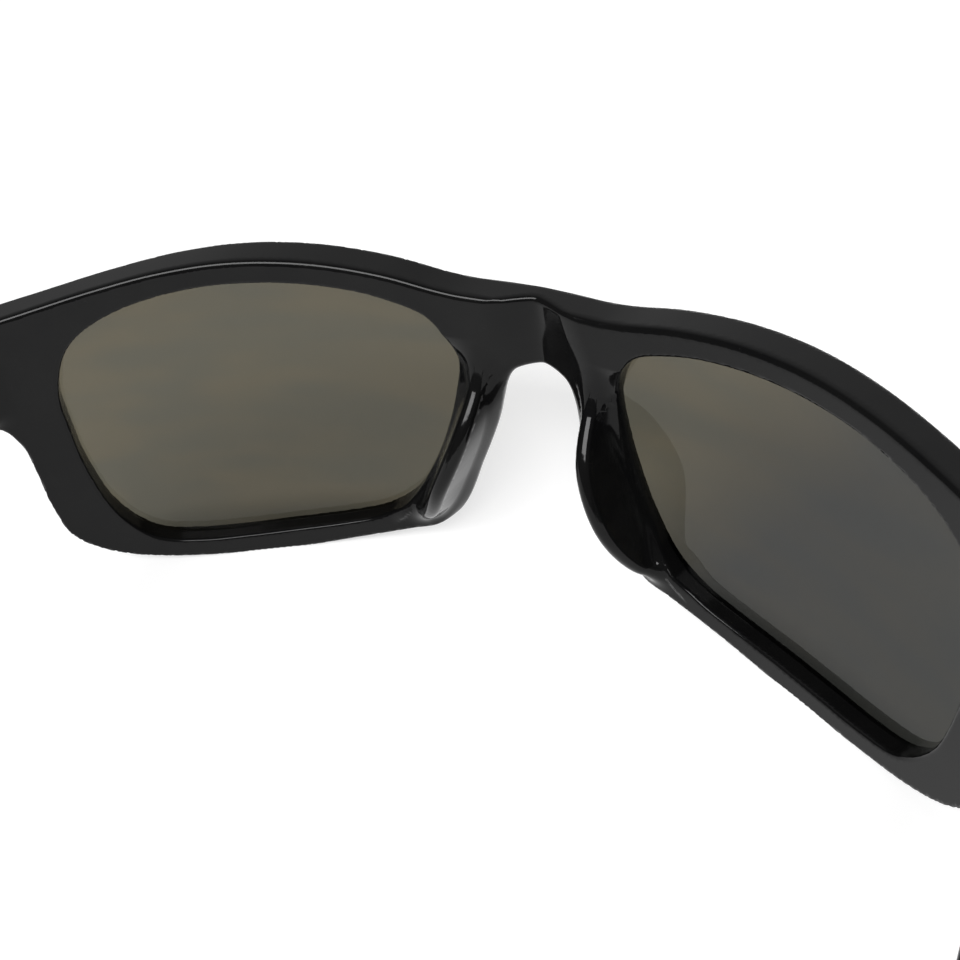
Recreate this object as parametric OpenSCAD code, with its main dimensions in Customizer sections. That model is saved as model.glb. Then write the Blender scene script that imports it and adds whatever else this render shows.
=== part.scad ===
// Wrap-around glacier glasses: a one-piece front with moulded nose pads, two
// smoke lenses, and two temples on three-knuckle hinges.
// +Z is up, the front of the glasses faces -Y and the temples run back along +Y.
// The wearer's left side is +X. The origin is under the middle of the glasses,
// on the plane that the lower rims and the temple tips stand on.

/* [Front] */
// Overall width, across the outer faces of the two temples
front_w = 142; // [138:0.5:146]
// Thickness of the front, measured square to its curved surface
front_t = 4.4; // [4.2:0.1:4.8]
// How strongly the front wraps: depth in mm gained per squared mm from the middle
wrap = 0.0063; // [0.0055:0.0001:0.0068]
// Lean of the front, its top edge forwards, in degrees
lean = 7.75; // [6:0.25:9]
// Distance back from the middle of the bridge to the origin, under the middle of the glasses
origin_back = 67.1; // [66.8:0.1:67.4]

// Thickness of the middle of the bridge at its top, where it is hollowed out behind
bridge_t = 2.7; // [2.6:0.1:3]

/* [Lenses] */
// Thickness of a lens
lens_t = 1.5; // [1.2:0.1:1.7]
// Depth of the ledge behind a lens
ledge = 2.4; // [2:0.1:2.8]
// How far the lens edge reaches into its groove
groove = 0.8; // [0.5:0.1:1]
// Free play between a lens and its groove
play = 0.04; // [0.02:0.01:0.06]

/* [Temples] */
// Height of a temple at its hinge
temple_h = 13.6; // [13:0.2:14.4]
// Thickness of a temple at its hinge
temple_t = 5; // [4.8:0.1:5.2]
// Where the rubber tip starts, behind the hinge
tip_start = 75; // [72:1:78]
// Radius of the steel core wire
core_r = 0.6; // [0.5:0.05:0.7]

/* [Hinges] */
// Outer radius of the hinge knuckles
knuckle_r = 1.7; // [1.5:0.05:1.75]
// Height of the whole hinge barrel
hinge_h = 11; // [9:0.5:12]
// Thickness of the hinge leaves
leaf_t = 0.9; // [0.8:0.05:1]
// Radius of the hinge screw's shank
screw_r = 0.7; // [0.6:0.05:0.8]
// Radial clearance of the hinge screw in its knuckles
running = 0.05; // [0.02:0.01:0.08]

/* [Hidden] */
$fn = 48;
eps = 0.01;

// Everything below is drawn around the middle of the bridge, and shifted by
// to_origin at the end. The lower rims are this far below the bridge datum.
rim_drop = 14.5;
to_origin = [0, -origin_back, rim_drop];
far = 200;
steps = 6;

// Hinge: the axis is vertical, just inside the temple's inner face.
half_w = front_w / 2;
inner_x = half_w - temple_t;
axis_x = inner_x - 2;
axis_y = 35;
hinge_z = 22.7;
joint_gap = 0.15;
knuckle_gap = 0.1;
knuckle_h = (hinge_h - 2 * knuckle_gap) / 3;
leaf_len = 6.4;
leaf_clear = knuckle_r + 0.25;
leaf_screw_y = leaf_clear + leaf_len / 2;
leaf_screw_dz = 3.2;
leaf_screw_r = 0.6;
leaf_head_r = 1.15;
leaf_head_h = 0.5;
leaf_shank = 2.4;
screw_head_r = 1.15;
screw_head_h = 0.7;

// Outline of the right half of the front, seen from the front: x, z.
top_edge = [
    [0, 27.6], [8, 27.5], [13, 28.1], [20, 29.9], [29, 31.7], [38, 32.65], [46, 32.5],
    [54, 31.6], [62, 30.5], [half_w, 29.6],
];
low_edge = [
    [half_w, 15.9], [67.4, 14.9], [65.4, 11.2], [64.6, 6], [64, 0], [62.7, -5.8], [58.7, -10.2],
    [52.7, -13], [44.5, -rim_drop], [35.5, -rim_drop], [27, -13.1], [19.6, -11.3], [15.2, -9.8], [12.4, -6.2],
    [10, 0], [8.5, 3.7], [7.2, 7.4], [6.5, 10.8], [5.6, 13.6], [3.5, 15.9], [0, 16.7],
];
// Outline of a lens opening: x, z.
opening_edge = [
    [59.6, 11.3], [59.6, 18], [57.3, 24.2], [52, 27.7], [44, 29.3], [35, 29.2], [26, 27.9], [19, 26],
    [13.6, 23.3], [11.1, 17.6], [11.9, 11.3], [13.6, 5.2], [15.9, -0.6], [19.2, -6], [23.6, -9.1],
    [29.3, -10.5], [36, -11.2], [42, -11.4], [48, -11], [53.4, -9.1], [57.2, -3.4], [59, 4.4],
];
// Nose pad stations, top to bottom: a point inside the pad's rear edge, and a point in the rim.
pad_edge = [[8, -1.4, 14], [9.1, 3.7, 8.6], [11.9, 6, 1.5], [15.4, 4.2, -5.6]];
pad_root = [[8, -3.4, 14.2], [9.5, -2.7, 8.4], [12.2, -1.3, 1.3], [15.3, 0.2, -6]];
pad_edge_r = 1.2;
pad_root_r = 2.2;

// The room for the nose behind the bridge is an upright rounded V, whose sides
// steepen where they run out into the rims.
dip_slope = 0.5;
dip_round = 1.2;
dip_flare = 0.03;
dip_flare_from = 9;
dip_half_w = 20;

// Radius of the rounded end of a temple
tip_r = 4.6;
// Temple stations from the hinge to the tip: y, z of the middle, half the height.
arm_side = [
    [axis_y + joint_gap, hinge_z, temple_h / 2], [50, 22.3, 6.5], [70, 20.8, 5.4], [90, 18.2, 4.7],
    [106, 14.2, 4.4], [118, 8.6, 4.4], [128, 1, 4.5], [134, -5, 4.5], [138.4, -10.2, tip_r],
];
// Temple stations in plan: y, x of the outer face, thickness.
arm_plan = [
    [axis_y, half_w, temple_t], [44, half_w, temple_t], [48, half_w, temple_t], [66, half_w - 0.2, 4.4],
    [90, half_w - 1.3, 3.9], [112, half_w - 3.4, 3.9], [130, half_w - 6, 4.2], [146, half_w - 9, 4.2],
];
tip_y = axis_y + tip_start;
tongue_h = 2.3;
tongue_t = 1.2;
tongue_end = 133;
core_from = [inner_x + 3.4, axis_y + joint_gap, 23.2];
core_to = [inner_x + 1.4, 100, 16.9];

// A point on the smooth curve through p0 p1 p2 p3, at t from p1 (0) to p2 (1).
function curve_at(p0, p1, p2, p3, t) =
    0.5 * (2 * p1 + (p2 - p0) * t + (2 * p0 - 5 * p1 + 4 * p2 - p3) * t * t
    + (3 * p1 - p0 - 3 * p2 + p3) * t * t * t);

// A smooth open curve through all the points, with n steps between each pair.
function smooth(p, n = steps) = [
    for (i = [0 : len(p) - 2], k = [0 : n - 1])
        curve_at(p[max(i - 1, 0)], p[i], p[i + 1], p[min(i + 2, len(p) - 1)], k / n),
    p[len(p) - 1],
];

// A smooth closed curve through all the points.
function smooth_loop(p, n = 4) = let (m = len(p)) [
    for (i = [0 : m - 1], k = [0 : n - 1])
        curve_at(p[(i + m - 1) % m], p[i], p[(i + 1) % m], p[(i + 2) % m], k / n),
];

// The points of a closed curve moved outwards by d (the curve runs anticlockwise).
function grow(p, d) = let (m = len(p)) [
    for (i = [0 : m - 1])
        let (v = p[(i + 1) % m] - p[(i + m - 1) % m]) p[i] + d * [v[1], -v[0]] / norm(v),
];

function reversed(p) = [for (i = [len(p) - 1 : -1 : 0]) p[i]];

function flipped(p) = [for (q = reversed(p)) [-q[0], q[1]]];

// The front's rear surface in plan, and the same curve a distance d in front of it.
function wrap_point(x, d) = let (a = atan(2 * wrap * x)) [x + d * sin(a), wrap * x * x - d * cos(a)];

// A curved wall that follows the wrap, from distance d0 to d1 in front of the rear surface.
module wrap_wall(d0, d1) {
    xs = [for (i = [-24 : 24]) i * 3];
    wall = concat(
        [for (x = xs) wrap_point(x, d1)],
        [for (x = reversed(xs)) wrap_point(x, d0)]
    );
    rotate([lean, 0, 0])
    translate([0, 0, -far / 2])
    linear_extrude(far) polygon(wall);
}

// A flat x, z outline drawn out along Y.
module through(outline) {
    rotate([90, 0, 0])
    translate([0, 0, -far / 2])
    linear_extrude(far) polygon(outline);
}

// Everything above the plane that the glasses stand on.
module above_rest() {
    translate([-far, -far, -rim_drop]) cube(2 * far);
}

module both_sides() {
    children();
    mirror([1, 0, 0]) children();
}

module front_outline() {
    half = concat(smooth(top_edge), smooth(low_edge));
    clockwise = concat(half, [for (i = [1 : len(half) - 2]) flipped(half)[i]]);
    through(clockwise);
}

// The corner where the front turns back to meet the temple.
module endpiece() {
    corner = [
        [inner_x, 20], [inner_x + 2.8, 21.2], [inner_x + 4, 23], [inner_x + 4.7, 25.2], [half_w, 28],
        [half_w, axis_y - joint_gap], [inner_x, axis_y - joint_gap],
    ];
    translate([0, 0, hinge_z - temple_h / 2])
    linear_extrude(temple_h) polygon(corner);
}

module nose_pad() {
    for (i = [0 : len(pad_edge) - 2])
        hull() {
            for (k = [i, i + 1]) {
                translate(pad_edge[k]) sphere(pad_edge_r, $fn = 24);
                translate(pad_root[k]) sphere(pad_root_r, $fn = 24);
            }
        }
}

// The room for the nose behind the bridge. Its bottom is bridge_t behind the front surface at the top edge.
module bridge_hollow() {
    bottom = bridge_t - front_t - top_edge[0][1] * tan(lean);
    wall = [
        for (x = [-dip_half_w : dip_half_w])
            let (side = dip_slope * (norm([x, dip_round]) - dip_round), out = max(abs(x) - dip_flare_from, 0))
            [x, bottom + side + dip_flare * out * out],
    ];
    translate([0, 0, -far / 2])
    linear_extrude(far) polygon(wall);
}

module lens_blank(grown, d0, d1) {
    intersection() {
        wrap_wall(d0, d1);
        through(grow(smooth_loop(opening_edge), grown));
    }
}

module leaf_screw_holes(y) {
    for (side = [-1, 1])
        translate([inner_x - eps, y, hinge_z + side * leaf_screw_dz])
        rotate([0, 90, 0]) cylinder(r = leaf_screw_r + play, h = leaf_shank + 0.2);
}

module front_frame() {
    color([0.03, 0.03, 0.032])
    translate(to_origin)
    intersection() {
        above_rest();
        difference() {
            union() {
                intersection() {
                    difference() {
                        wrap_wall(0, front_t);
                        bridge_hollow();
                    }
                    front_outline();
                }
                both_sides() endpiece();
                both_sides() nose_pad();
            }
            both_sides() through(smooth_loop(opening_edge));
            both_sides() lens_blank(groove + play, ledge - play, ledge + lens_t + play);
            both_sides() leaf_screw_holes(axis_y - leaf_screw_y);
        }
    }
}

module lens() {
    color([0.36, 0.35, 0.31, 0.7])
    translate(to_origin)
    lens_blank(groove, ledge, ledge + lens_t);
}

// One edge of a strip that follows stations of x, y, half width: side 1 is on its left.
function strip_edge(p, side, trim) = let (last = len(p) - 1) [
    for (i = [0 : last])
        let (v = p[min(i + 1, last)] - p[max(i - 1, 0)])
        [p[i][0], p[i][1]] + side * (p[i][2] - trim) * [-v[1], v[0]] / norm([v[0], v[1]]),
];

// The half circle that rounds off the far end of such a strip, from left to right.
function strip_end(p, trim) = let (
    q = p[len(p) - 1],
    v = q - p[len(p) - 2],
    heading = atan2(v[1], v[0])
) [for (a = [75 : -15 : -75]) [q[0], q[1]] + (q[2] - trim) * [cos(heading + a), sin(heading + a)]];

// The temple's outline seen from the side, from y0 to y1, drawn out along X.
module side_profile(y0, y1, trim) {
    path = smooth(arm_side);
    intersection() {
        translate([-far / 2, y0, -far / 2]) cube([far, y1 - y0, far]);
        rotate([90, 0, 90])
        translate([0, 0, -far / 2])
        linear_extrude(far)
            polygon(concat(strip_edge(path, 1, trim), strip_end(path, trim), reversed(strip_edge(path, -1, trim))));
    }
}

// The temple's outline seen from above, drawn out along Z.
module plan_profile(trim) {
    path = smooth(arm_plan);
    outer = [for (q = path) [q[1] - trim, q[0]]];
    inner = [for (q = path) [q[1] - q[2] + trim, q[0]]];
    translate([0, 0, -far / 2])
    linear_extrude(far) polygon(concat(outer, reversed(inner)));
}

// The part of the arm that the rubber tip slides over.
module tongue(clear) {
    intersection() {
        side_profile(tip_y - 1, tongue_end + clear, tongue_h - clear);
        plan_profile(tongue_t - clear);
    }
}

module core_wire(r, start) {
    v = core_to - core_from;
    translate(core_from)
    rotate([0, acos(v[2] / norm(v)), atan2(v[1], v[0])])
    translate([0, 0, start]) cylinder(r = r, h = norm(v) - start);
}

module temple_arm() {
    color([0.03, 0.03, 0.032])
    translate(to_origin)
    difference() {
        union() {
            intersection() {
                side_profile(axis_y + joint_gap, tip_y, 0);
                plan_profile(0);
            }
            tongue(0);
        }
        core_wire(core_r + play, -2);
        leaf_screw_holes(axis_y + leaf_screw_y);
    }
}

module temple_tip() {
    color([0.05, 0.05, 0.05])
    translate(to_origin)
    difference() {
        intersection() {
            side_profile(tip_y, far, 0);
            plan_profile(-0.2);
            above_rest();
        }
        tongue(play);
    }
}

module temple_core_wire() {
    color("silver")
    translate(to_origin)
    core_wire(core_r, 0.4);
}

// One knuckle of the barrel, numbered from the bottom.
module knuckle(i) {
    translate([axis_x, axis_y, hinge_z - hinge_h / 2 + i * (knuckle_h + knuckle_gap)])
    cylinder(r = knuckle_r, h = knuckle_h);
}

// The strap that joins knuckle i to its leaf, towards -Y (way -1) or +Y (way 1).
module strap(i, way) {
    y0 = way < 0 ? axis_y - leaf_clear - eps : axis_y;
    translate([inner_x - leaf_t, y0, hinge_z - hinge_h / 2 + i * (knuckle_h + knuckle_gap)])
    cube([leaf_t - 0.35, leaf_clear + eps, knuckle_h]);
}

module leaf(way) {
    y0 = way < 0 ? axis_y - leaf_clear - leaf_len : axis_y + leaf_clear;
    translate([inner_x - leaf_t, y0, hinge_z - hinge_h / 2]) cube([leaf_t, leaf_len, hinge_h]);
}

module hinge_bore() {
    top = hinge_z + hinge_h / 2;
    translate([axis_x, axis_y, hinge_z - hinge_h / 2 - 1]) cylinder(r = screw_r + running, h = hinge_h + 2);
    translate([axis_x, axis_y, top - screw_head_h]) cylinder(r = screw_head_r + running, h = 1);
}

module leaf_bores(way) {
    for (side = [-1, 1])
        translate([inner_x - leaf_t - 1, axis_y + way * leaf_screw_y, hinge_z + side * leaf_screw_dz])
        rotate([0, 90, 0]) cylinder(r = leaf_screw_r + play, h = leaf_t + 2);
}

// A hinge leaf with the knuckles listed; way is -1 for the front leaf and 1 for the temple leaf.
module hinge_leaf(knuckles, way) {
    color("silver")
    translate(to_origin)
    difference() {
        union() {
            leaf(way);
            for (i = knuckles) {
                knuckle(i);
                strap(i, way);
            }
        }
        hinge_bore();
        leaf_bores(way);
    }
}

module hinge_screw() {
    slot_w = 0.4;
    slot_deep = 0.35;
    top = hinge_z + hinge_h / 2;
    color("gainsboro")
    translate(to_origin)
    difference() {
        union() {
            translate([axis_x, axis_y, hinge_z - hinge_h / 2]) cylinder(r = screw_r, h = hinge_h - eps);
            translate([axis_x, axis_y, top - screw_head_h + play]) cylinder(r = screw_head_r, h = screw_head_h - play);
        }
        translate([axis_x - slot_w / 2, axis_y - 2, top - slot_deep]) cube([slot_w, 4, 1]);
    }
}

// A small slotted screw through a leaf; way as above, up is 1 for the upper one and -1 for the lower.
module leaf_screw(way, up) {
    slot_w = 0.35;
    slot_deep = 0.25;
    face_x = inner_x - leaf_t;
    color("gainsboro")
    translate(to_origin)
    translate([face_x, axis_y + way * leaf_screw_y, hinge_z + up * leaf_screw_dz])
    difference() {
        union() {
            rotate([0, 90, 0]) cylinder(r = leaf_screw_r, h = leaf_t + leaf_shank);
            translate([-leaf_head_h, 0, 0]) rotate([0, 90, 0]) cylinder(r = leaf_head_r, h = leaf_head_h);
        }
        translate([-leaf_head_h - 1, -2, -slot_w / 2]) cube([1 + slot_deep, 4, slot_w]);
    }
}

module right() mirror([1, 0, 0]) children();

front_frame();
lens();  // lens_left
right() lens();  // lens_right
temple_arm();  // temple_arm_left
right() temple_arm();  // temple_arm_right
temple_tip();  // temple_tip_left
right() temple_tip();  // temple_tip_right
temple_core_wire();  // temple_core_wire_left
right() temple_core_wire();  // temple_core_wire_right
hinge_leaf([0, 2], -1);  // hinge_front_leaf_left
right() hinge_leaf([0, 2], -1);  // hinge_front_leaf_right
hinge_leaf([1], 1);  // hinge_temple_leaf_left
right() hinge_leaf([1], 1);  // hinge_temple_leaf_right
hinge_screw();  // hinge_screw_left
right() hinge_screw();  // hinge_screw_right
leaf_screw(-1, 1);  // front_leaf_screw_upper_left
leaf_screw(-1, -1);  // front_leaf_screw_lower_left
right() leaf_screw(-1, 1);  // front_leaf_screw_upper_right
right() leaf_screw(-1, -1);  // front_leaf_screw_lower_right
leaf_screw(1, 1);  // temple_leaf_screw_upper_left
leaf_screw(1, -1);  // temple_leaf_screw_lower_left
right() leaf_screw(1, 1);  // temple_leaf_screw_upper_right
right() leaf_screw(1, -1);  // temple_leaf_screw_lower_right
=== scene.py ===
from math import cos, pi, radians, sin, tan

import bpy
import numpy as np
from mathutils import Matrix, Vector


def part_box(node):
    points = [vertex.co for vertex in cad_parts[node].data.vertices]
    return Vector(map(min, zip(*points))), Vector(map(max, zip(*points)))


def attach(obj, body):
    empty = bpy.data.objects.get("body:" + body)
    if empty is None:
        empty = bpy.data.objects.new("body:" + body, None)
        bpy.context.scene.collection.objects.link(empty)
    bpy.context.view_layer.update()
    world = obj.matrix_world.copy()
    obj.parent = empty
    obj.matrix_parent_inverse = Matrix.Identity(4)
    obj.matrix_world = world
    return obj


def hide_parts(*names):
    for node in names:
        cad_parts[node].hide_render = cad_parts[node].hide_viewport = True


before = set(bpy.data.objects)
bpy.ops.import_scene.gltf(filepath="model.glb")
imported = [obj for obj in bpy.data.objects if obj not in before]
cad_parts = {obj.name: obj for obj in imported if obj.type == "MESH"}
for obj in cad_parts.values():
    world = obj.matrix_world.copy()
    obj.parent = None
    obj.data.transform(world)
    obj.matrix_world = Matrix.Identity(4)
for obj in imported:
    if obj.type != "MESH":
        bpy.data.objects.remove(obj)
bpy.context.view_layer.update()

# ---------------------------------------------------------------------------
# Sizes and places. The frame's boxes fix the datum, the width, the hinge side and
# the height of the lenses; the other sizes are those of the CAD model. Shapes are
# drawn in millimetres from the datum, at the middle of the bridge.
# ---------------------------------------------------------------------------
MM = 0.001
FRONT_LOW, FRONT_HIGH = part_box("front_frame")
LENS_LOW, LENS_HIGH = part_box("lens_left")
LEAF_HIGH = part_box("hinge_front_leaf_left")[1]
HALF_W = FRONT_HIGH.x / MM
INNER_X = LEAF_HIGH.x / MM      # inner face of an endpiece, where its hinge leaf lies
ENDPIECE_END = 34.85            # rear face of an endpiece
RIM_DROP = 14.5                 # the flat under the lower rims
DATUM = Vector((0, FRONT_HIGH.y - ENDPIECE_END * MM, FRONT_LOW.z + RIM_DROP * MM))

# Front
WRAP = 0.0063                   # depth gained per squared millimetre from the middle
LEAN = radians(7.75)            # the top edge leans forwards
FRONT_T = 4.4                   # thickness, square to the surface
LEDGE = 2.4                     # depth of the ledge behind a lens
LENS_T = 1.5
LENS_OVERLAP = 0.75             # how far a lens runs into the groove round its opening
LENS_RINGS = 22
LENS_BEVEL = 0.12
LENS_BEVEL_SHARE = 0.996        # a lens face ends here, as a share of the way from its middle to its edge
LIP_BACK = 0.45                 # the opening is this much wider in front of the lens
LIP_STEP = 0.3                  # depth over which it widens
BRIDGE_T = 2.7                  # thickness of the bridge at its top, where it is hollowed out behind
DIP_SLOPE = 0.5                 # slope of the two sides of that hollow, an upright rounded V
DIP_ROUND = 1.2                 # how softly the bottom of the V is rounded
DIP_FLARE = 0.03                # how its sides steepen where they run out into the rims
DIP_FLARE_FROM = 9              # x from which they do
SCOOP_SLOPE = 0.55              # the rim slopes down from the pad to the lens beside it
SCOOP_WIDTH = 3.6
SCOOP_ROUND = 0.5
SCOOP_SIDE = (20, 6)            # the scoop ends here outwards, and fades over this distance
SCOOP_TOP = (21.5, 5)
SCOOP_FOOT = (-8, 6)
ENDPIECE_ROOT = 24.0            # front end of the endpiece block, inside the wrapped front
ENDPIECE_LOW, ENDPIECE_HIGH = 15.9, 29.5
ENDPIECE_R = 1.2
ENDPIECE_PAST = 2               # the endpiece block runs past the two cuts that trim it

# Rounded edges and filled corners of the front
REAR_EDGE_R = 0.4               # rear edge of the lower rim
TOP_EDGE_R = 0.45               # extra on the top ridge
TOP_EDGE_FROM, TOP_EDGE_OVER = 2, 8
HOLLOW_EDGE_R = 0.6
FRONT_EDGE_R = 0.5
OPENING_EDGE_R = 0.45
END_EDGE_R = 0.35
SIDE_EDGE_R = 1.2
FLAT_EDGE_R = 0.3
PAD_FILLET = 2.4
ENDPIECE_FILLET = 2.5

VOXEL = 0.42                    # cell size of the grid that the front is meshed on
FAR_OFF = 1e9                   # farther than anything in the model
BLADE_ROOM = 7                  # a pad's distance is worked out this far round it
BLADE_FAR = 5.0                 # and stands at this value farther off
GRID_LOW = (-HALF_W - 1.05, -10.5, -RIM_DROP - 1.1)
GRID_HIGH = (HALF_W + 1.05, ENDPIECE_END + 1, 34.2)

# Outlines of the wearer's left half, seen from the front: x, z.
TOP_EDGE = [
    (0, 27.6), (8, 27.5), (13, 28.1), (20, 29.9), (29, 31.7), (38, 32.65), (46, 32.5),
    (54, 31.6), (62, 30.5), (HALF_W, 29.6),
]
LOW_EDGE = [
    (HALF_W, 15.9), (67.4, 14.9), (65.4, 11.2), (64.6, 6), (64, 0), (62.7, -5.8), (58.7, -10.2),
    (52.7, -13), (44.5, -RIM_DROP), (35.5, -RIM_DROP), (27, -13.1), (19.6, -11.3),
    (15.2, -9.8), (12.4, -6.2), (10, 0), (8.5, 3.7), (7.2, 7.4), (6.5, 10.8), (5.6, 13.6),
    (3.5, 15.9), (0, 16.7),
]
OPENING_EDGE = [
    (59.6, 11.3), (59.6, 18), (57.3, 24.2), (52, 27.7), (44, 29.3), (35, 29.2), (26, 27.9), (19, 26),
    (13.6, 23.3), (11.1, 17.6), (11.9, 11.3), (13.6, 5.2), (15.9, -0.6), (19.2, -6), (23.6, -9.1),
    (29.3, -10.5), (36, -11.2), (42, -11.4), (48, -11), (53.4, -9.1), (57.2, -3.4), (59, 4.4),
]
# Nose pad, top to bottom: points inside its rear edge, and points in the rim in front of them.
PAD_EDGE = [
    (8.6, -4.4, 18), (8.1, -1.6, 14), (9, 3.6, 8.6), (11.9, 6, 1.5), (15.4, 4.2, -5.6), (19.6, 0.8, -8.8),
]
PAD_ROOT = [
    (8.6, -5, 17), (8.1, -3.6, 13.8), (9.4, -2.7, 8.6), (12, -1.3, 1.5), (15.2, 0.1, -6), (20, 0.8, -8.4),
]
PAD_EDGE_R = 1.2
PAD_ROOT_R = 2.6

# Temples: y, z of the middle, half the height; and y, x of the outer face, thickness.
ARM_SIDE = [
    (35.15, 22.7, 6.8), (50, 22.3, 6.5), (70, 20.8, 5.4), (90, 18.2, 4.7),
    (106, 14.2, 4.4), (118, 8.6, 4.4), (128, 1, 4.5), (134, -5, 4.5), (138.4, -10.2, 4.6),
]
ARM_PLAN = [
    (35, HALF_W, 5), (44, HALF_W, 5), (48, HALF_W, 5), (66, HALF_W - 0.2, 4.4), (90, HALF_W - 1.3, 3.9),
    (112, HALF_W - 3.4, 3.9), (130, HALF_W - 6, 4.2), (146, HALF_W - 9, 4.2),
]
TEMPLE_START = ARM_SIDE[0][0]
TIP_START = 110.0
TEMPLE_CORNER = 1.2             # corner radius of a temple's section
TEMPLE_CROWN = 0.35             # how far its outer face is crowned
STRAIGHT_LEAD = 12              # its sections turn square to its path over this first stretch
TIP_PROUD = 0.2                 # the rubber sleeve stands out this far
TIP_LIP, TIP_LIP_RUN = 0.15, 0.8
GRIP_START, GRIP_PITCH, GRIP_COUNT = 5, 1.7, 9
GRIP_DEEP, GRIP_WIDTH = 0.28, 0.33
TIP_END_NARROW = 0.55           # its round end narrows by this much on each face
TIP_END_SWEEP = 0.18            # and keeps turning inwards at this slope

# Colours
BLACK_LOW, BLACK_HIGH = (0.003, 0.003, 0.0032), (0.0045, 0.0045, 0.0045)
DUST = (0.03, 0.029, 0.027)
LENS_SQUARE = (0.123, 0.111, 0.080)         # seen square on
LENS_SLANTED = (0.037, 0.039, 0.043)        # seen at a slant
LENS_EDGE_ON = (0.016, 0.0175, 0.018)       # seen nearly edge on
LENS_STREAK = (0.88, 0.93, 1.0)
RUBBER_LOW, RUBBER_HIGH = (0.014, 0.014, 0.0145), (0.024, 0.0235, 0.023)
RUBBER_BLOOM = (0.045, 0.043, 0.04)
TARNISH = (0.33, 0.32, 0.3)
PAPER_LOW, PAPER_HIGH = 0.49, 0.51
SCRATCH_STRETCH = 0.12                      # hairlines run long and thin

# Floor, light and camera
FLOOR_R = 2.5
FLOOR_SIDES = 96
FLOOR_GLOW = 0.6
WHITE = (1, 1, 1, 1)
PANEL_WAY = (0.25, -0.66, 0.71)
PANEL_EDGE, PANEL_CORE = 0.55, 0.9      # cosines at which the panel starts and is at full strength
PANEL_LIGHT, ROOM_LIGHT = 0.8, 0.15
KEY_WAY, KEY_DISTANCE, KEY_SIZE, KEY_POWER = (0, 0.58, 0.81), 1.2, (1.1, 0.38), 16
VIEW_AZIMUTH, VIEW_ELEVATION, VIEW_ROLL = radians(33.36), radians(43.97), radians(-10.6)
VIEW_DISTANCE = 0.1993
VIEW_TARGET = DATUM + Vector((0.00922, 0, -0.00183))
VIEW_LENS, VIEW_SENSOR = 54.3, 36
VIEW_NEAR, VIEW_FAR = 0.01, 20


# ---------------------------------------------------------------------------
# Curves
# ---------------------------------------------------------------------------
def curve_at(p0, p1, p2, p3, t):
    return 0.5 * (2 * p1 + (p2 - p0) * t + (2 * p0 - 5 * p1 + 4 * p2 - p3) * t**2
                  + (3 * p1 - p0 - 3 * p2 + p3) * t**3)


def smooth(points, steps=20, closed=False):
    """A smooth curve through the points, the same curve that the CAD model uses."""
    p = np.array(points, float)
    n = len(p)
    out = []
    for i in range(n if closed else n - 1):
        if closed:
            around = [p[(i + k) % n] for k in (-1, 0, 1, 2)]
        else:
            around = [p[min(max(i + k, 0), n - 1)] for k in (-1, 0, 1, 2)]
        out += [curve_at(*around, k / steps) for k in range(steps)]
    if not closed:
        out.append(p[-1])
    return np.array(out)


class Outline:
    """Signed distance to a closed outline in the x, z plane, negative inside, smooth between grid points."""

    def __init__(self, points, step=0.35, margin=6.0):
        pts = np.array(points, float)
        self.step = step
        self.low = np.maximum(pts.min(0) - margin, (-2 * step, -FAR_OFF))
        size = np.ceil((pts.max(0) + margin - self.low) / step).astype(int) + 1
        gx, gz = np.meshgrid(*[self.low[k] + step * np.arange(size[k]) for k in (0, 1)], indexing="ij")
        q = np.stack([gx.ravel(), gz.ravel()], 1)
        a, b = pts, np.roll(pts, -1, 0)
        best = np.full(len(q), FAR_OFF)
        inside = np.zeros(len(q), bool)
        for s, e in zip(a, b):
            d = e - s
            length = max(d @ d, 1e-12)
            t = np.clip(((q - s) @ d) / length, 0, 1)
            best = np.minimum(best, ((q - s - t[:, None] * d) ** 2).sum(1))
            crosses = (s[1] > q[:, 1]) != (e[1] > q[:, 1])
            if d[1] != 0:
                inside ^= crosses & (q[:, 0] < s[0] + (q[:, 1] - s[1]) * d[0] / d[1])
        self.grid = np.where(inside, -1, 1).reshape(size) * np.sqrt(best).reshape(size)

    def __call__(self, x, z):
        u = np.clip((x - self.low[0]) / self.step, 1, self.grid.shape[0] - 3)
        v = np.clip((z - self.low[1]) / self.step, 1, self.grid.shape[1] - 3)
        i, j = u.astype(int), v.astype(int)
        wu, wv = spline_weights(u - i), spline_weights(v - j)
        total = 0
        for m in range(4):
            row = sum(wv[n] * self.grid[i + m - 1, j + n - 1] for n in range(4))
            total = total + wu[m] * row
        return total


def spline_weights(t):
    return [(1 - t) ** 3 / 6, (3 * t**3 - 6 * t**2 + 4) / 6, (-3 * t**3 + 3 * t**2 + 3 * t + 1) / 6, t**3 / 6]


# ---------------------------------------------------------------------------
# The wrap: every point has a foot on the rear surface and a depth in front of it
# ---------------------------------------------------------------------------
def to_wrap(p):
    """x and z of the foot point, and the depth in front of the rear surface."""
    x = p[..., 0]
    yt = p[..., 1] * cos(LEAN) + p[..., 2] * sin(LEAN)
    zt = -p[..., 1] * sin(LEAN) + p[..., 2] * cos(LEAN)
    xs = x.copy()
    for _ in range(4):
        off = yt - WRAP * xs**2
        h = (x - xs) + off * 2 * WRAP * xs
        slope = -1 + 2 * WRAP * (off - 2 * WRAP * xs**2)
        xs = xs - h / np.minimum(slope, -0.2)
    depth = (WRAP * xs**2 - yt) * np.sqrt(1 + (2 * WRAP * xs) ** 2)
    return xs, WRAP * xs**2 * sin(LEAN) + zt * cos(LEAN), depth


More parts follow.
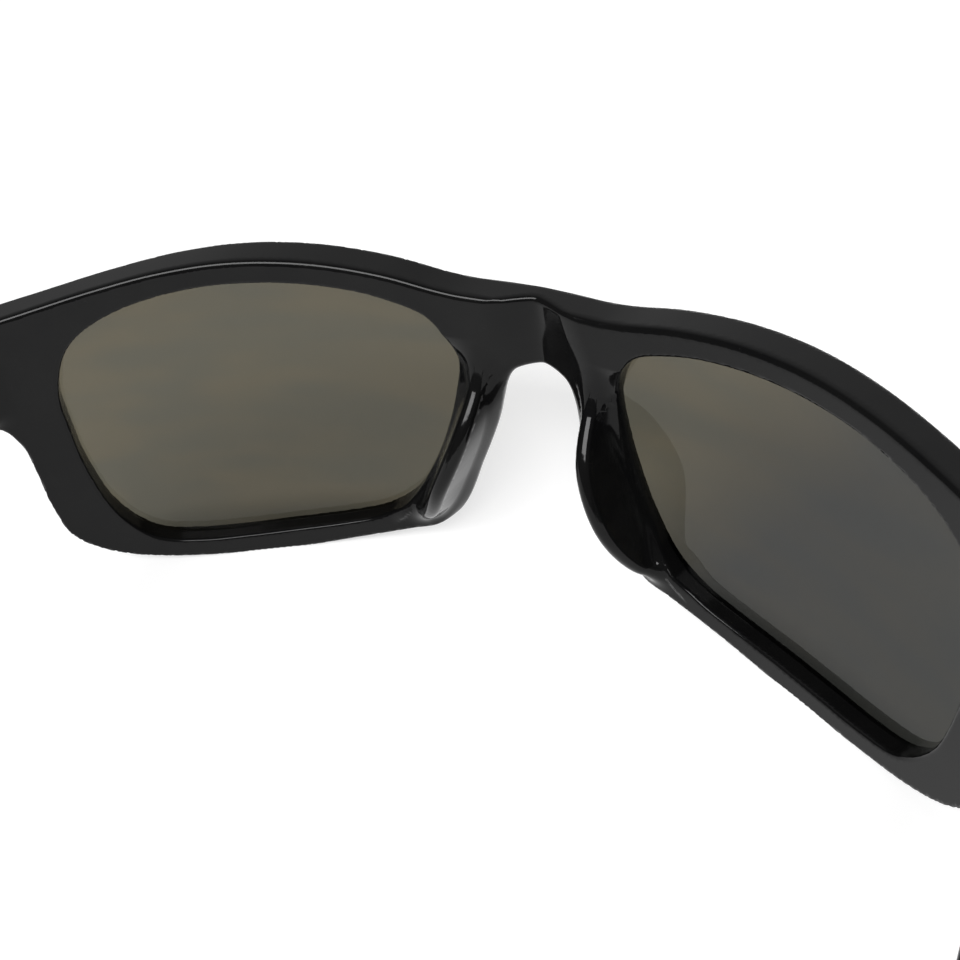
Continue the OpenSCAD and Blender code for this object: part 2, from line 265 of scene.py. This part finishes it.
def from_wrap(xs, zs, depth):
    """The point whose foot is at xs, zs on the rear surface, at that depth in front of it."""
    slope = 2 * WRAP * xs
    size = np.sqrt(1 + slope**2)
    zt = (zs - WRAP * xs**2 * sin(LEAN)) / cos(LEAN)
    x = xs + depth * slope / size
    yt = WRAP * xs**2 - depth / size
    return np.stack([x, yt * cos(LEAN) - zt * sin(LEAN), yt * sin(LEAN) + zt * cos(LEAN)], -1)


def both(a, b, r):
    """Where both fields are inside, with the edge between them rounded to radius r."""
    a, b = a + r, b + r
    return np.minimum(np.maximum(a, b), 0) + np.hypot(np.maximum(a, 0), np.maximum(b, 0)) - r


def either(a, b, k):
    """Where either field is inside, with the corner between them filled over a width k."""
    h = np.maximum(k - np.abs(a - b), 0) / k
    return np.minimum(a, b) - h * h * k / 4


def blade(p, edge, root, r_edge, r_root, rods=26):
    """Distance to a blade swept by a tapered rod whose two ends follow the two curves."""
    low = np.minimum(edge.min(0), root.min(0)) - BLADE_ROOM
    high = np.maximum(edge.max(0), root.max(0)) + BLADE_ROOM
    near = ((p > low) & (p < high)).all(-1)
    gap = np.full(p.shape[:-1], BLADE_FAR)
    q = p[near]
    if not len(q):
        return gap

    def rod(at):
        at = np.asarray(at, float) * (len(edge) - 1) / (rods - 1)
        i = np.clip(at.astype(int), 0, len(edge) - 2)
        w = (at - i)[..., None]
        s = edge[i] * (1 - w) + edge[i + 1] * w
        d = root[i] * (1 - w) + root[i + 1] * w - s
        t = np.clip(((q - s) * d).sum(-1) / (d * d).sum(-1), 0, 1)
        return np.sqrt(((q - s - t[..., None] * d) ** 2).sum(-1)) - (r_edge + (r_root - r_edge) * t)

    rows = np.stack([rod(k) for k in range(rods)])
    i = np.clip(rows.argmin(0), 1, rods - 2)
    every = np.arange(len(q))
    a, b, c = rows[i - 1, every], rows[i, every], rows[i + 1, every]
    bend = a - 2 * b + c
    shift = np.clip(0.5 * (a - c) / np.where(np.abs(bend) < 1e-9, 1e-9, bend), -1, 1)
    gap[near] = np.minimum(rod(np.clip(i + shift, 0, rods - 1)), rows.min(0))
    return gap


# ---------------------------------------------------------------------------
# The front, as a field that is negative inside the plastic
# ---------------------------------------------------------------------------
half_outline = np.vstack([smooth(TOP_EDGE, 8), smooth(LOW_EDGE, 8)])
front_outline = Outline(np.vstack([half_outline, (half_outline * (-1, 1))[::-1]]))
opening_outline = Outline(smooth(OPENING_EDGE, 8, closed=True))
pad_edge, pad_root = smooth(PAD_EDGE, 60), smooth(PAD_ROOT, 60)


def hollow_field(x, y):
    """Positive in the room for the nose behind the bridge."""
    bottom = BRIDGE_T - FRONT_T - TOP_EDGE[0][1] * tan(LEAN)
    sides = DIP_SLOPE * (np.hypot(x, DIP_ROUND) - DIP_ROUND)
    wall = bottom + sides + DIP_FLARE * np.maximum(x - DIP_FLARE_FROM, 0) ** 2
    return (y - wall) / np.hypot(1, DIP_SLOPE)


def fade(distance, over):
    """0 up to no distance, and 1 from the given distance on."""
    return np.clip(distance / over, 0, 1)


def scoop_depth(xs, zs, gap):
    """How far the rim is cut back beside the pad, at this distance outside the lens opening."""
    side_end, side_fade = SCOOP_SIDE
    top_end, top_fade = SCOOP_TOP
    foot_end, foot_fade = SCOOP_FOOT
    beside_pad = fade(side_end - xs, side_fade) * fade(top_end - zs, top_fade)
    beside_pad = beside_pad * fade(zs - foot_end, foot_fade)
    side = SCOOP_SLOPE * (SCOOP_WIDTH - np.maximum(gap, 0))
    return beside_pad * (side + np.hypot(side, SCOOP_ROUND)) / 2


def front_field(p):
    x, y, z = np.abs(p[..., 0]), p[..., 1], p[..., 2]
    q = np.stack([x, y, z], -1)
    xs, zs, depth = to_wrap(q)
    opening = opening_outline(xs, zs)
    top_side = fade(z - TOP_EDGE_FROM, TOP_EDGE_OVER)
    rear = both(scoop_depth(xs, zs, opening) - depth, hollow_field(x, y), HOLLOW_EDGE_R)
    body = both(front_outline(x, z), rear, REAR_EDGE_R + TOP_EDGE_R * top_side)
    body = either(body, blade(q, pad_edge, pad_root, PAD_EDGE_R, PAD_ROOT_R), PAD_FILLET)
    body = both(body, depth - FRONT_T, FRONT_EDGE_R)
    body = either(body, endpiece_field(q), ENDPIECE_FILLET)
    lip = LIP_BACK * fade(depth - LEDGE - LENS_T + LIP_STEP, LIP_STEP)
    body = both(body, lip - opening, OPENING_EDGE_R)
    body = both(body, y - ENDPIECE_END, END_EDGE_R)
    body = both(body, x - HALF_W, SIDE_EDGE_R)
    return both(body, -RIM_DROP - z, FLAT_EDGE_R)


def endpiece_field(q):
    """Distance to the rounded block behind each end of the front."""
    low = np.array([INNER_X, ENDPIECE_ROOT, ENDPIECE_LOW])
    high = np.array([HALF_W + ENDPIECE_PAST, ENDPIECE_END + ENDPIECE_PAST, ENDPIECE_HIGH])
    centre, half = (low + high) / 2, (high - low) / 2 - ENDPIECE_R
    d = np.abs(q - centre) - half
    return np.sqrt((np.maximum(d, 0) ** 2).sum(-1)) + np.minimum(d.max(-1), 0) - ENDPIECE_R


def gradient(field, p, e=0.02):
    g = np.stack([field(p + e * np.eye(3)[k]) - field(p - e * np.eye(3)[k]) for k in range(3)], -1)
    return g / (2 * e)


def sample_near(field, axes, step, skip=3):
    """The field on a grid: everywhere at every third point, and at every point near the surface."""
    rough = field(np.stack(np.meshgrid(*[a[::skip] for a in axes], indexing="ij"), -1))
    nearest = [np.minimum((np.arange(len(a)) + 1) // skip, n - 1) for a, n in zip(axes, rough.shape)]
    values = rough[np.ix_(*nearest)]
    near = np.nonzero(np.abs(values) < 1.3 * skip * step)
    values[near] = field(np.stack([a[i] for a, i in zip(axes, near)], -1))
    return values


def mesh_of_field(field, low, high, step):
    """Surface nets: one vertex in each cell that the surface crosses, then moved onto the surface."""
    axes = [np.arange(low[k], high[k] + step, step) for k in range(3)]
    values = sample_near(field, axes, step)
    inside = values < 0
    n = [len(a) - 1 for a in axes]
    corners = [(i, j, k) for i in (0, 1) for j in (0, 1) for k in (0, 1)]
    count = sum(inside[i:n[0] + i, j:n[1] + j, k:n[2] + k].astype(int) for i, j, k in corners)
    cells = np.argwhere((count > 0) & (count < 8))
    number = np.full(n, -1)
    number[tuple(cells.T)] = np.arange(len(cells))
    total, hits = np.zeros((len(cells), 3)), np.zeros(len(cells))
    for c in corners:
        for k in range(3):
            if c[k]:
                continue
            a, b = cells + c, cells + c + np.eye(3, dtype=int)[k]
            va, vb = values[tuple(a.T)], values[tuple(b.T)]
            cut = (va < 0) != (vb < 0)
            t = np.where(cut, va / np.where(cut, va - vb, 1), 0)
            total += cut[:, None] * (a + t[:, None] * np.eye(3)[k])
            hits += cut
    verts = np.array([axes[k][0] for k in range(3)]) + step * total / hits[:, None]
    for _ in range(3):
        g = gradient(field, verts)
        verts = verts - g * (field(verts) / np.maximum((g * g).sum(1), 0.2))[:, None]
    faces = []
    for k in range(3):
        u, v = np.eye(3, dtype=int)[(k + 1) % 3], np.eye(3, dtype=int)[(k + 2) % 3]
        step_k = np.eye(3, dtype=int)[k]
        span = [slice(1, -1)] * 3
        span[k] = slice(0, -1)
        ahead = list(span)
        ahead[k] = slice(1, None)
        first, second = inside[tuple(span)], inside[tuple(ahead)]
        offset = np.array([1, 1, 1]) - step_k
        for into in (True, False):
            at = np.argwhere((first != second) & (first == into)) + offset
            ring = [at - u - v, at - v, at, at - u]
            quad = np.stack([number[tuple(r.T)] for r in ring], 1)
            faces.append(quad if into else quad[:, ::-1])
    return verts, np.vstack(faces)


# ---------------------------------------------------------------------------
# Meshes
# ---------------------------------------------------------------------------
def add_mesh(name, verts, faces, normals=None):
    """A smooth-shaded object from points in millimetres about the datum."""
    mesh = bpy.data.meshes.new(name)
    placed = np.asarray(verts) * MM + np.array(DATUM)
    mesh.from_pydata([tuple(v) for v in placed], [], [tuple(int(i) for i in f) for f in faces])
    mesh.validate()
    mesh.update()
    for polygon in mesh.polygons:
        polygon.use_smooth = True
    if normals is not None:
        mesh.normals_split_custom_set_from_vertices([tuple(n) for n in normals])
    obj = bpy.data.objects.new(name, mesh)
    bpy.context.scene.collection.objects.link(obj)
    return obj


def mirrored(verts, faces):
    return np.asarray(verts) * (-1, 1, 1), [tuple(f)[::-1] for f in faces]


def make_front():
    verts, faces = mesh_of_field(front_field, GRID_LOW, GRID_HIGH, VOXEL)
    normals = gradient(front_field, verts)
    normals /= np.linalg.norm(normals, axis=1)[:, None]
    return add_mesh("front_moulding", verts, faces, normals)


def lens_mesh():
    """A curved plate that follows the wrap, with a narrow bevel round its edge."""
    edge = smooth(OPENING_EDGE, 8, closed=True)
    centre = edge.mean(0)
    outwards = (edge - centre) / np.linalg.norm(edge - centre, axis=1)[:, None]
    grown = edge + LENS_OVERLAP * outwards
    front = LEDGE + LENS_T
    shares = np.linspace(0, 1, LENS_RINGS)[1:-1]
    layers = [(share, LEDGE) for share in shares]
    layers += [(LENS_BEVEL_SHARE, LEDGE), (1, LEDGE + LENS_BEVEL)]
    layers += [(1, front - LENS_BEVEL), (LENS_BEVEL_SHARE, front)]
    layers += [(share, front) for share in shares[::-1]]
    verts, rows = [from_wrap(*centre, LEDGE)], []
    for share, depth in layers:
        ring = centre + share * (grown - centre)
        rows.append(len(verts))
        verts += list(from_wrap(ring[:, 0], ring[:, 1], depth))
    verts.append(from_wrap(*centre, front))
    n = len(edge)
    last = len(verts) - 1
    faces = [(0, rows[0] + (i + 1) % n, rows[0] + i) for i in range(n)]
    for a, b in zip(rows, rows[1:]):
        faces += [(a + i, a + (i + 1) % n, b + (i + 1) % n, b + i) for i in range(n)]
    faces += [(last, rows[-1] + i, rows[-1] + (i + 1) % n) for i in range(n)]
    return np.array(verts), faces


arm_side, arm_plan = smooth(ARM_SIDE, 30), smooth(ARM_PLAN, 30)
arm_way = np.gradient(arm_side[:, :2], axis=0)
arm_heading = np.arctan2(arm_way[:, 1], arm_way[:, 0])


def arm_at(y):
    """Middle height, half height, outer x and thickness of the temple at y."""
    return [np.interp(y, curve[:, 0], curve[:, k]) for curve in (arm_side, arm_plan) for k in (1, 2)]


def section(half_h, thick, corner, crown, grow=0.0, per_corner=8, per_side=10):
    """A rounded rectangle, x out from the outer face (0) inwards (-thick), with a crowned outer face."""
    pts = []
    top, inner, outer = half_h + grow, -thick - grow, grow
    for x, z, start in ((outer, top, 0), (inner, top, 90), (inner, -top, 180), (outer, -top, 270)):
        centre_x = x - corner if x == outer else x + corner
        centre_z = z - corner if z > 0 else z + corner
        for k in range(per_corner + 1):
            angle = radians(start + 90 * k / per_corner)
            pts.append((centre_x + corner * cos(angle), centre_z + corner * sin(angle)))
        if start in (90, 270):
            pts += [(x, centre_z - 2 * centre_z * k / per_side) for k in range(1, per_side)]
    return [(x - crown * (z / top) ** 2 if x > -thick / 2 else x, z) for x, z in pts]


def loft(sections):
    """Joins rings of equal length with quads and closes the ends."""
    verts = np.vstack(sections)
    n = len(sections[0])
    faces = []
    for r in range(len(sections) - 1):
        a, b = r * n, (r + 1) * n
        faces += [(a + i, b + i, b + (i + 1) % n, a + (i + 1) % n) for i in range(n)]
    faces.append(tuple(range(n)))
    faces.append(tuple(range(len(verts) - n, len(verts)))[::-1])
    return verts, faces


def temple_ring(y, z, half_h, heading, outer_x, thick, corner=TEMPLE_CORNER, crown=TEMPLE_CROWN, grow=0.0):
    """One section of the temple, square to its path in the side view."""
    outline = section(half_h, thick, corner, crown, grow)
    return np.array([(outer_x + sx, y - sz * sin(heading), z + sz * cos(heading)) for sx, sz in outline])


def make_pair(name, verts, faces, slot, node, bodies=("left_temple", "right_temple")):
    """A piece and its mirror image, riding on their bodies and standing for their CAD nodes."""
    pieces = []
    for side, body in zip(("left", "right"), bodies):
        v, f = (verts, faces) if side == "left" else mirrored(verts, faces)
        obj = add_mesh(f"{name}_{side}", v, f)
        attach(obj, body)
        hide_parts(f"{node}_{side}")
        pieces.append(obj)
    return pieces


def temple_rows(ys, grow_at):
    """Sections of the temple at each y, each grown by grow_at(y)."""
    rows = []
    for y in ys:
        z, half_h, outer, thick = arm_at(y)
        turn = np.interp(y, arm_side[:, 0], arm_heading) * min(1.0, (y - TEMPLE_START) / STRAIGHT_LEAD)
        rows.append(temple_ring(y, z, half_h, turn, outer, thick, grow=grow_at(y)))
    return rows


def arm_mesh():
    """The moulded temple, its butt end bevelled."""
    bevel = {TEMPLE_START: -0.35, TEMPLE_START + 0.1: -0.1, TEMPLE_START + 0.35: 0.0}
    ys = list(bevel) + list(np.linspace(TEMPLE_START + 1, TIP_START, 64))
    return loft(temple_rows(ys, lambda y: bevel.get(y, 0.0)))


def tip_growth(y):
    """How far the rubber sleeve stands out at y: a soft lip at its mouth, then grip grooves."""
    along = y - TIP_START
    grooves = [GRIP_START + GRIP_PITCH * k for k in range(GRIP_COUNT)]
    dip = sum(GRIP_DEEP * np.exp(-((along - at) / GRIP_WIDTH) ** 2) for at in grooves)
    lip = TIP_LIP * np.exp(-along / TIP_LIP_RUN)
    rounding = -0.15 if along < 0.06 else 0
    return TIP_PROUD + lip + rounding - dip


def tip_mesh():
    """The rubber sleeve, with a rounded end that rests on a flat."""
    y_end, z_end = arm_side[-1][:2]
    heading = arm_heading[-1]
    ys = [TIP_START, TIP_START + 0.1] + list(np.linspace(TIP_START + 0.3, y_end, 150))
    rows = temple_rows(ys, tip_growth)
    _, half_h, outer, thick = arm_at(y_end)
    for angle in np.linspace(0, 90, 13)[1:]:
        a = radians(min(angle, 89))
        y = y_end + half_h * sin(a) * cos(heading)
        z = z_end + half_h * sin(a) * sin(heading)
        narrow = TIP_END_NARROW * (1 - cos(a))
        corner = min(TEMPLE_CORNER, 0.95 * half_h * cos(a))
        rows.append(temple_ring(y, z, half_h * cos(a), heading, outer - narrow - (y - y_end) * TIP_END_SWEEP,
                                thick - 2 * narrow, corner, TEMPLE_CROWN * cos(a), TIP_PROUD))
    verts, faces = loft(rows)
    verts[:, 2] = np.maximum(verts[:, 2], -RIM_DROP)
    return verts, faces


# ---------------------------------------------------------------------------
# Materials
# ---------------------------------------------------------------------------
class Material:
    """A node material around one Principled shader."""

    def __init__(self, name, **values):
        self.data = bpy.data.materials.new(name)
        self.data.use_nodes = True
        self.tree = self.data.node_tree
        self.shader = self.tree.nodes["Principled BSDF"]
        self.spot = self.node("ShaderNodeTexCoord").outputs["Object"]
        for key, value in values.items():
            self.shader.inputs[key.replace("_", " ")].default_value = value

    def node(self, kind, links=None, **settings):
        node = self.tree.nodes.new(kind)
        for key, value in settings.items():
            setattr(node, key, value)
        for key, value in (links or {}).items():
            socket = node.inputs[key]
            if hasattr(value, "is_output"):
                self.tree.links.new(value, socket)
            else:
                socket.default_value = value
        return node

    def link(self, output, key):
        self.tree.links.new(output, self.shader.inputs[key])

    def stretched(self, scale):
        return self.node("ShaderNodeMapping", {"Vector": self.spot, "Scale": scale}).outputs[0]

    def noise(self, size_mm, detail=3.0, rough=0.55, stretch=(1, 1, 1)):
        """Noise whose blotches are about size_mm across."""
        scale = [s / (size_mm * MM) for s in stretch]
        return self.node("ShaderNodeTexNoise", {"Vector": self.stretched(scale), "Scale": 1.0,
                                                "Detail": detail, "Roughness": rough}).outputs["Fac"]

    def ramp(self, value, *stops):
        """A ramp through (position, colour or grey) stops."""
        node = self.node("ShaderNodeValToRGB", {"Fac": value})
        ramp = node.color_ramp
        while len(ramp.elements) < len(stops):
            ramp.elements.new(0.5)
        for element, (at, colour) in zip(ramp.elements, stops):
            element.position = at
            grey = not hasattr(colour, "__len__")
            element.color = (colour, colour, colour, 1) if grey else (*colour, 1)
        return node.outputs["Color"]

    def mix(self, share, a, b, blend="MIX"):
        node = self.node("ShaderNodeMix", data_type="RGBA", blend_type=blend)
        for socket, value in zip((node.inputs[0], node.inputs[6], node.inputs[7]), (share, a, b)):
            if hasattr(value, "is_output"):
                self.tree.links.new(value, socket)
            elif hasattr(value, "__len__"):
                socket.default_value = (*value, 1)
            else:
                socket.default_value = value
        return node.outputs[2]

    def bump(self, height, strength, depth_mm, onto=None):
        links = {"Height": height, "Strength": strength, "Distance": depth_mm * MM}
        if onto is not None:
            links["Normal"] = onto
        return self.node("ShaderNodeBump", links).outputs["Normal"]


def scratches(m, size_mm, turn, width=0.012):
    """Sparse fine hairlines, from the edges of long stretched cells."""
    scale = 1 / (size_mm * MM)
    stretched = (scale, SCRATCH_STRETCH * scale, scale)
    placed = m.node("ShaderNodeMapping", {"Vector": m.spot, "Rotation": turn, "Scale": stretched})
    cells = m.node("ShaderNodeTexVoronoi", {"Vector": placed.outputs[0], "Scale": 1.0, "Randomness": 1.0},
                   feature="DISTANCE_TO_EDGE")
    return m.ramp(cells.outputs["Distance"], (0, 1.0), (width, 0.0))


def gloss_plastic():
    """Gloss black moulding with specks of dust, a faint haze, hairlines and a moulded ripple."""
    m = Material("frame_plastic", IOR=1.27)
    tone = m.ramp(m.noise(9, 4), (0.35, BLACK_LOW), (0.65, BLACK_HIGH))
    dust = m.ramp(m.noise(0.5, 2, 0.6), (0.70, 0.0), (0.80, 1.0))
    m.link(m.mix(m.ramp(dust, (0, 0.0), (1, 0.2)), tone, DUST), "Base Color")
    haze = m.ramp(m.noise(14, 4, 0.6), (0.3, 0.07), (0.7, 0.14))
    hair = scratches(m, 7, (0.3, 0.2, 0.9))
    m.link(m.mix(m.ramp(hair, (0, 0.0), (1, 0.5)), haze, (0.35, 0.35, 0.35)), "Roughness")
    ripple = m.bump(m.noise(5, 2, 0.4), 0.10, 0.05)
    grain = m.bump(m.noise(0.35, 2, 0.5), 0.05, 0.01, ripple)
    m.link(m.bump(hair, 0.10, 0.004, grain), "Normal")
    return m.data


def smoke_lens():
    """Smoke glass with a low-glare coat: darker where the way through it is longer, with painted shade
    towards its bottom edge and soft streaks.
    """
    m = Material("lens", IOR=1.25, Transmission_Weight=1.0)
    height = m.node("ShaderNodeSeparateXYZ", {"Vector": m.spot}).outputs["Z"]
    reach = {"Value": height, "From Min": LENS_LOW.z, "From Max": LENS_HIGH.z}
    height_for_painted_shade = m.node("ShaderNodeMapRange", reach).outputs[0]
    edge_on = m.node("ShaderNodeLayerWeight", {"Blend": 0.5}).outputs["Facing"]
    glass = m.ramp(edge_on, (0.32, LENS_SQUARE), (0.39, LENS_SLANTED), (0.48, LENS_EDGE_ON))
    # Painted shade: a ramp over the lens's height darkens it towards its bottom edge, standing in for the
    # shadowed floor seen through it, and a little near its top.
    tint_with_painted_shade = m.mix(1.0, glass, m.ramp(height_for_painted_shade, (0.0, 0.5), (0.13, 1.0), (0.6, 1.0), (0.9, 0.93)), "MULTIPLY")
    streaks = m.ramp(m.noise(9, 4, 0.5, (0.3, 1, 1.8)), (0.40, 0.0), (0.60, 1.0))
    m.link(m.mix(streaks, tint_with_painted_shade, m.mix(1.0, tint_with_painted_shade, LENS_STREAK, "MULTIPLY")), "Base Color")
    smear = m.ramp(m.noise(8, 4, 0.6, (1, 1, 2)), (0.4, 0.01), (0.7, 0.03))
    hair = scratches(m, 6, (0.2, 0.5, 0.4), 0.006)
    m.link(m.mix(m.ramp(hair, (0, 0.0), (1, 0.3)), smear, (0.2, 0.2, 0.2)), "Roughness")
    m.link(m.bump(m.noise(10, 2, 0.4), 0.03, 0.03), "Normal")
    return m.data


def tip_rubber():
    """Matte black rubber with a pale bloom in patches."""
    m = Material("tip_rubber", IOR=1.45)
    tone = m.ramp(m.noise(6, 4), (0.3, RUBBER_LOW), (0.7, RUBBER_HIGH))
    bloom = m.ramp(m.noise(2.2, 5, 0.65), (0.52, 0.0), (0.75, 0.35))
    m.link(m.mix(bloom, tone, RUBBER_BLOOM), "Base Color")
    m.link(m.ramp(m.noise(3, 4), (0.3, 0.55), (0.7, 0.78)), "Roughness")
    m.link(m.bump(m.noise(0.28, 3, 0.6), 0.35, 0.03), "Normal")
    return m.data


def steel(name, tone, rough):
    """Brushed steel, its fine lines running along Y, with darker tarnish in soft patches."""
    m = Material(name, Metallic=1.0)
    brushed = m.noise(0.35, 3, 0.6, (1, 0.06, 1))
    patches = m.ramp(m.noise(2.5, 4), (0.35, 0.0), (0.75, 0.45))
    bright = m.ramp(brushed, (0.3, tone * 0.85), (0.7, tone))
    m.link(m.mix(patches, bright, TARNISH), "Base Color")
    m.link(m.ramp(brushed, (0.3, rough), (0.7, rough + 0.15)), "Roughness")
    m.link(m.bump(brushed, 0.2, 0.01), "Normal")
    return m.data


def floor_paper():
    """White paper with a soft glow, so the floor stays as pale as its backdrop."""
    m = Material("floor_paper", Roughness=0.9, IOR=1.2, Emission_Strength=FLOOR_GLOW)
    m.shader.inputs["Emission Color"].default_value = WHITE
    m.link(m.ramp(m.noise(40, 4), (0.3, PAPER_LOW), (0.7, PAPER_HIGH)), "Base Color")
    m.link(m.bump(m.noise(0.8, 3), 0.05, 0.02), "Normal")
    return m.data


def paint(obj, material):
    obj.data.materials.clear()
    obj.data.materials.append(material)


# ---------------------------------------------------------------------------
# The object
# ---------------------------------------------------------------------------
plastic, lens_glass, rubber = gloss_plastic(), smoke_lens(), tip_rubber()
leaf_steel = steel("steel", tone=0.55, rough=0.22)
screw_steel = steel("screw_steel", tone=0.62, rough=0.16)

front = make_front()
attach(front, "front")
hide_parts("front_frame")
paint(front, plastic)

for piece in make_pair("smoke_lens", *lens_mesh(), "lens", "lens", ("front", "front")):
    paint(piece, lens_glass)
for piece in make_pair("arm_moulding", *arm_mesh(), "frame_plastic", "temple_arm"):
    paint(piece, plastic)
for piece in make_pair("rubber_sleeve", *tip_mesh(), "tip_rubber", "temple_tip"):
    paint(piece, rubber)

# The hinges and the core wires are the frame's own solids, seen as they are.
for name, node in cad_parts.items():
    if "screw" in name or "leaf" in name or "core_wire" in name:
        for slot in node.material_slots:
            slot.material = screw_steel if "screw" in name else leaf_steel

# ---------------------------------------------------------------------------
# Floor, light and camera
# ---------------------------------------------------------------------------
def make_floor():
    turns = [2 * pi * k / FLOOR_SIDES for k in range(FLOOR_SIDES)]
    ring = [(FLOOR_R * cos(turn), FLOOR_R * sin(turn), 0) for turn in turns]
    faces = [(0, 1 + k, 1 + (k + 1) % FLOOR_SIDES) for k in range(FLOOR_SIDES)]
    mesh = bpy.data.meshes.new("floor")
    mesh.from_pydata([(0, 0, 0)] + ring, [], faces)
    obj = bpy.data.objects.new("floor", mesh)
    bpy.context.scene.collection.objects.link(obj)
    paint(obj, floor_paper())


def area_light(name, place, aim, size, power):
    data = bpy.data.lights.new(name, "AREA")
    data.shape = "RECTANGLE"
    data.size, data.size_y = size
    data.energy = power
    obj = bpy.data.objects.new(name, data)
    obj.location = place
    obj.rotation_euler = (Vector(aim) - Vector(place)).to_track_quat("-Z", "Y").to_euler()
    bpy.context.scene.collection.objects.link(obj)


def make_world():
    """A dim room with a broad bright panel in front; the backdrop that the camera sees is white."""
    world = bpy.data.worlds.new("studio")
    bpy.context.scene.world = world
    world.use_nodes = True
    tree = world.node_tree

    def node(kind, **inputs):
        made = tree.nodes.new(kind)
        for key, value in inputs.items():
            if hasattr(value, "is_output"):
                tree.links.new(value, made.inputs[key])
            else:
                made.inputs[key].default_value = value
        return made

    spot = node("ShaderNodeTexCoord").outputs["Generated"]
    towards = node("ShaderNodeVectorMath")
    towards.operation = "DOT_PRODUCT"
    tree.links.new(spot, towards.inputs[0])
    towards.inputs[1].default_value = PANEL_WAY
    glow = {"Value": towards.outputs["Value"], "From Min": PANEL_EDGE, "From Max": PANEL_CORE,
            "To Min": ROOM_LIGHT, "To Max": PANEL_LIGHT}
    panel = node("ShaderNodeMapRange", **glow).outputs["Result"]
    room = tree.nodes["Background"]
    tree.links.new(panel, room.inputs["Strength"])
    room.inputs["Color"].default_value = WHITE
    backdrop = node("ShaderNodeBackground", Color=WHITE, Strength=1.0)
    seen = node("ShaderNodeLightPath").outputs["Is Camera Ray"]
    mix = node("ShaderNodeMixShader", Fac=seen)
    tree.links.new(room.outputs[0], mix.inputs[1])
    tree.links.new(backdrop.outputs[0], mix.inputs[2])
    tree.links.new(mix.outputs[0], tree.nodes["World Output"].inputs["Surface"])


def make_camera():
    """Close above the wearer's right temple, looking at the rear of the front."""
    level = cos(VIEW_ELEVATION)
    out = Vector((-sin(VIEW_AZIMUTH) * level, cos(VIEW_AZIMUTH) * level, sin(VIEW_ELEVATION)))
    right = (-out).cross(Vector((0, 0, 1))).normalized()
    up = right.cross(-out)
    axis_x = cos(VIEW_ROLL) * right + sin(VIEW_ROLL) * up
    axis_y = -sin(VIEW_ROLL) * right + cos(VIEW_ROLL) * up
    turn = Matrix((axis_x, axis_y, out)).transposed()
    data = bpy.data.cameras.new("camera")
    data.lens, data.sensor_width = VIEW_LENS, VIEW_SENSOR
    data.clip_start, data.clip_end = VIEW_NEAR, VIEW_FAR
    obj = bpy.data.objects.new("camera", data)
    obj.matrix_world = Matrix.Translation(VIEW_TARGET + out * VIEW_DISTANCE) @ turn.to_4x4()
    bpy.context.scene.collection.objects.link(obj)
    bpy.context.scene.camera = obj


make_floor()
make_world()
area_light("strip", tuple(KEY_DISTANCE * v for v in KEY_WAY), (0, 0, 0), KEY_SIZE, KEY_POWER)
make_camera()
bpy.context.scene.view_settings.view_transform = "Standard"
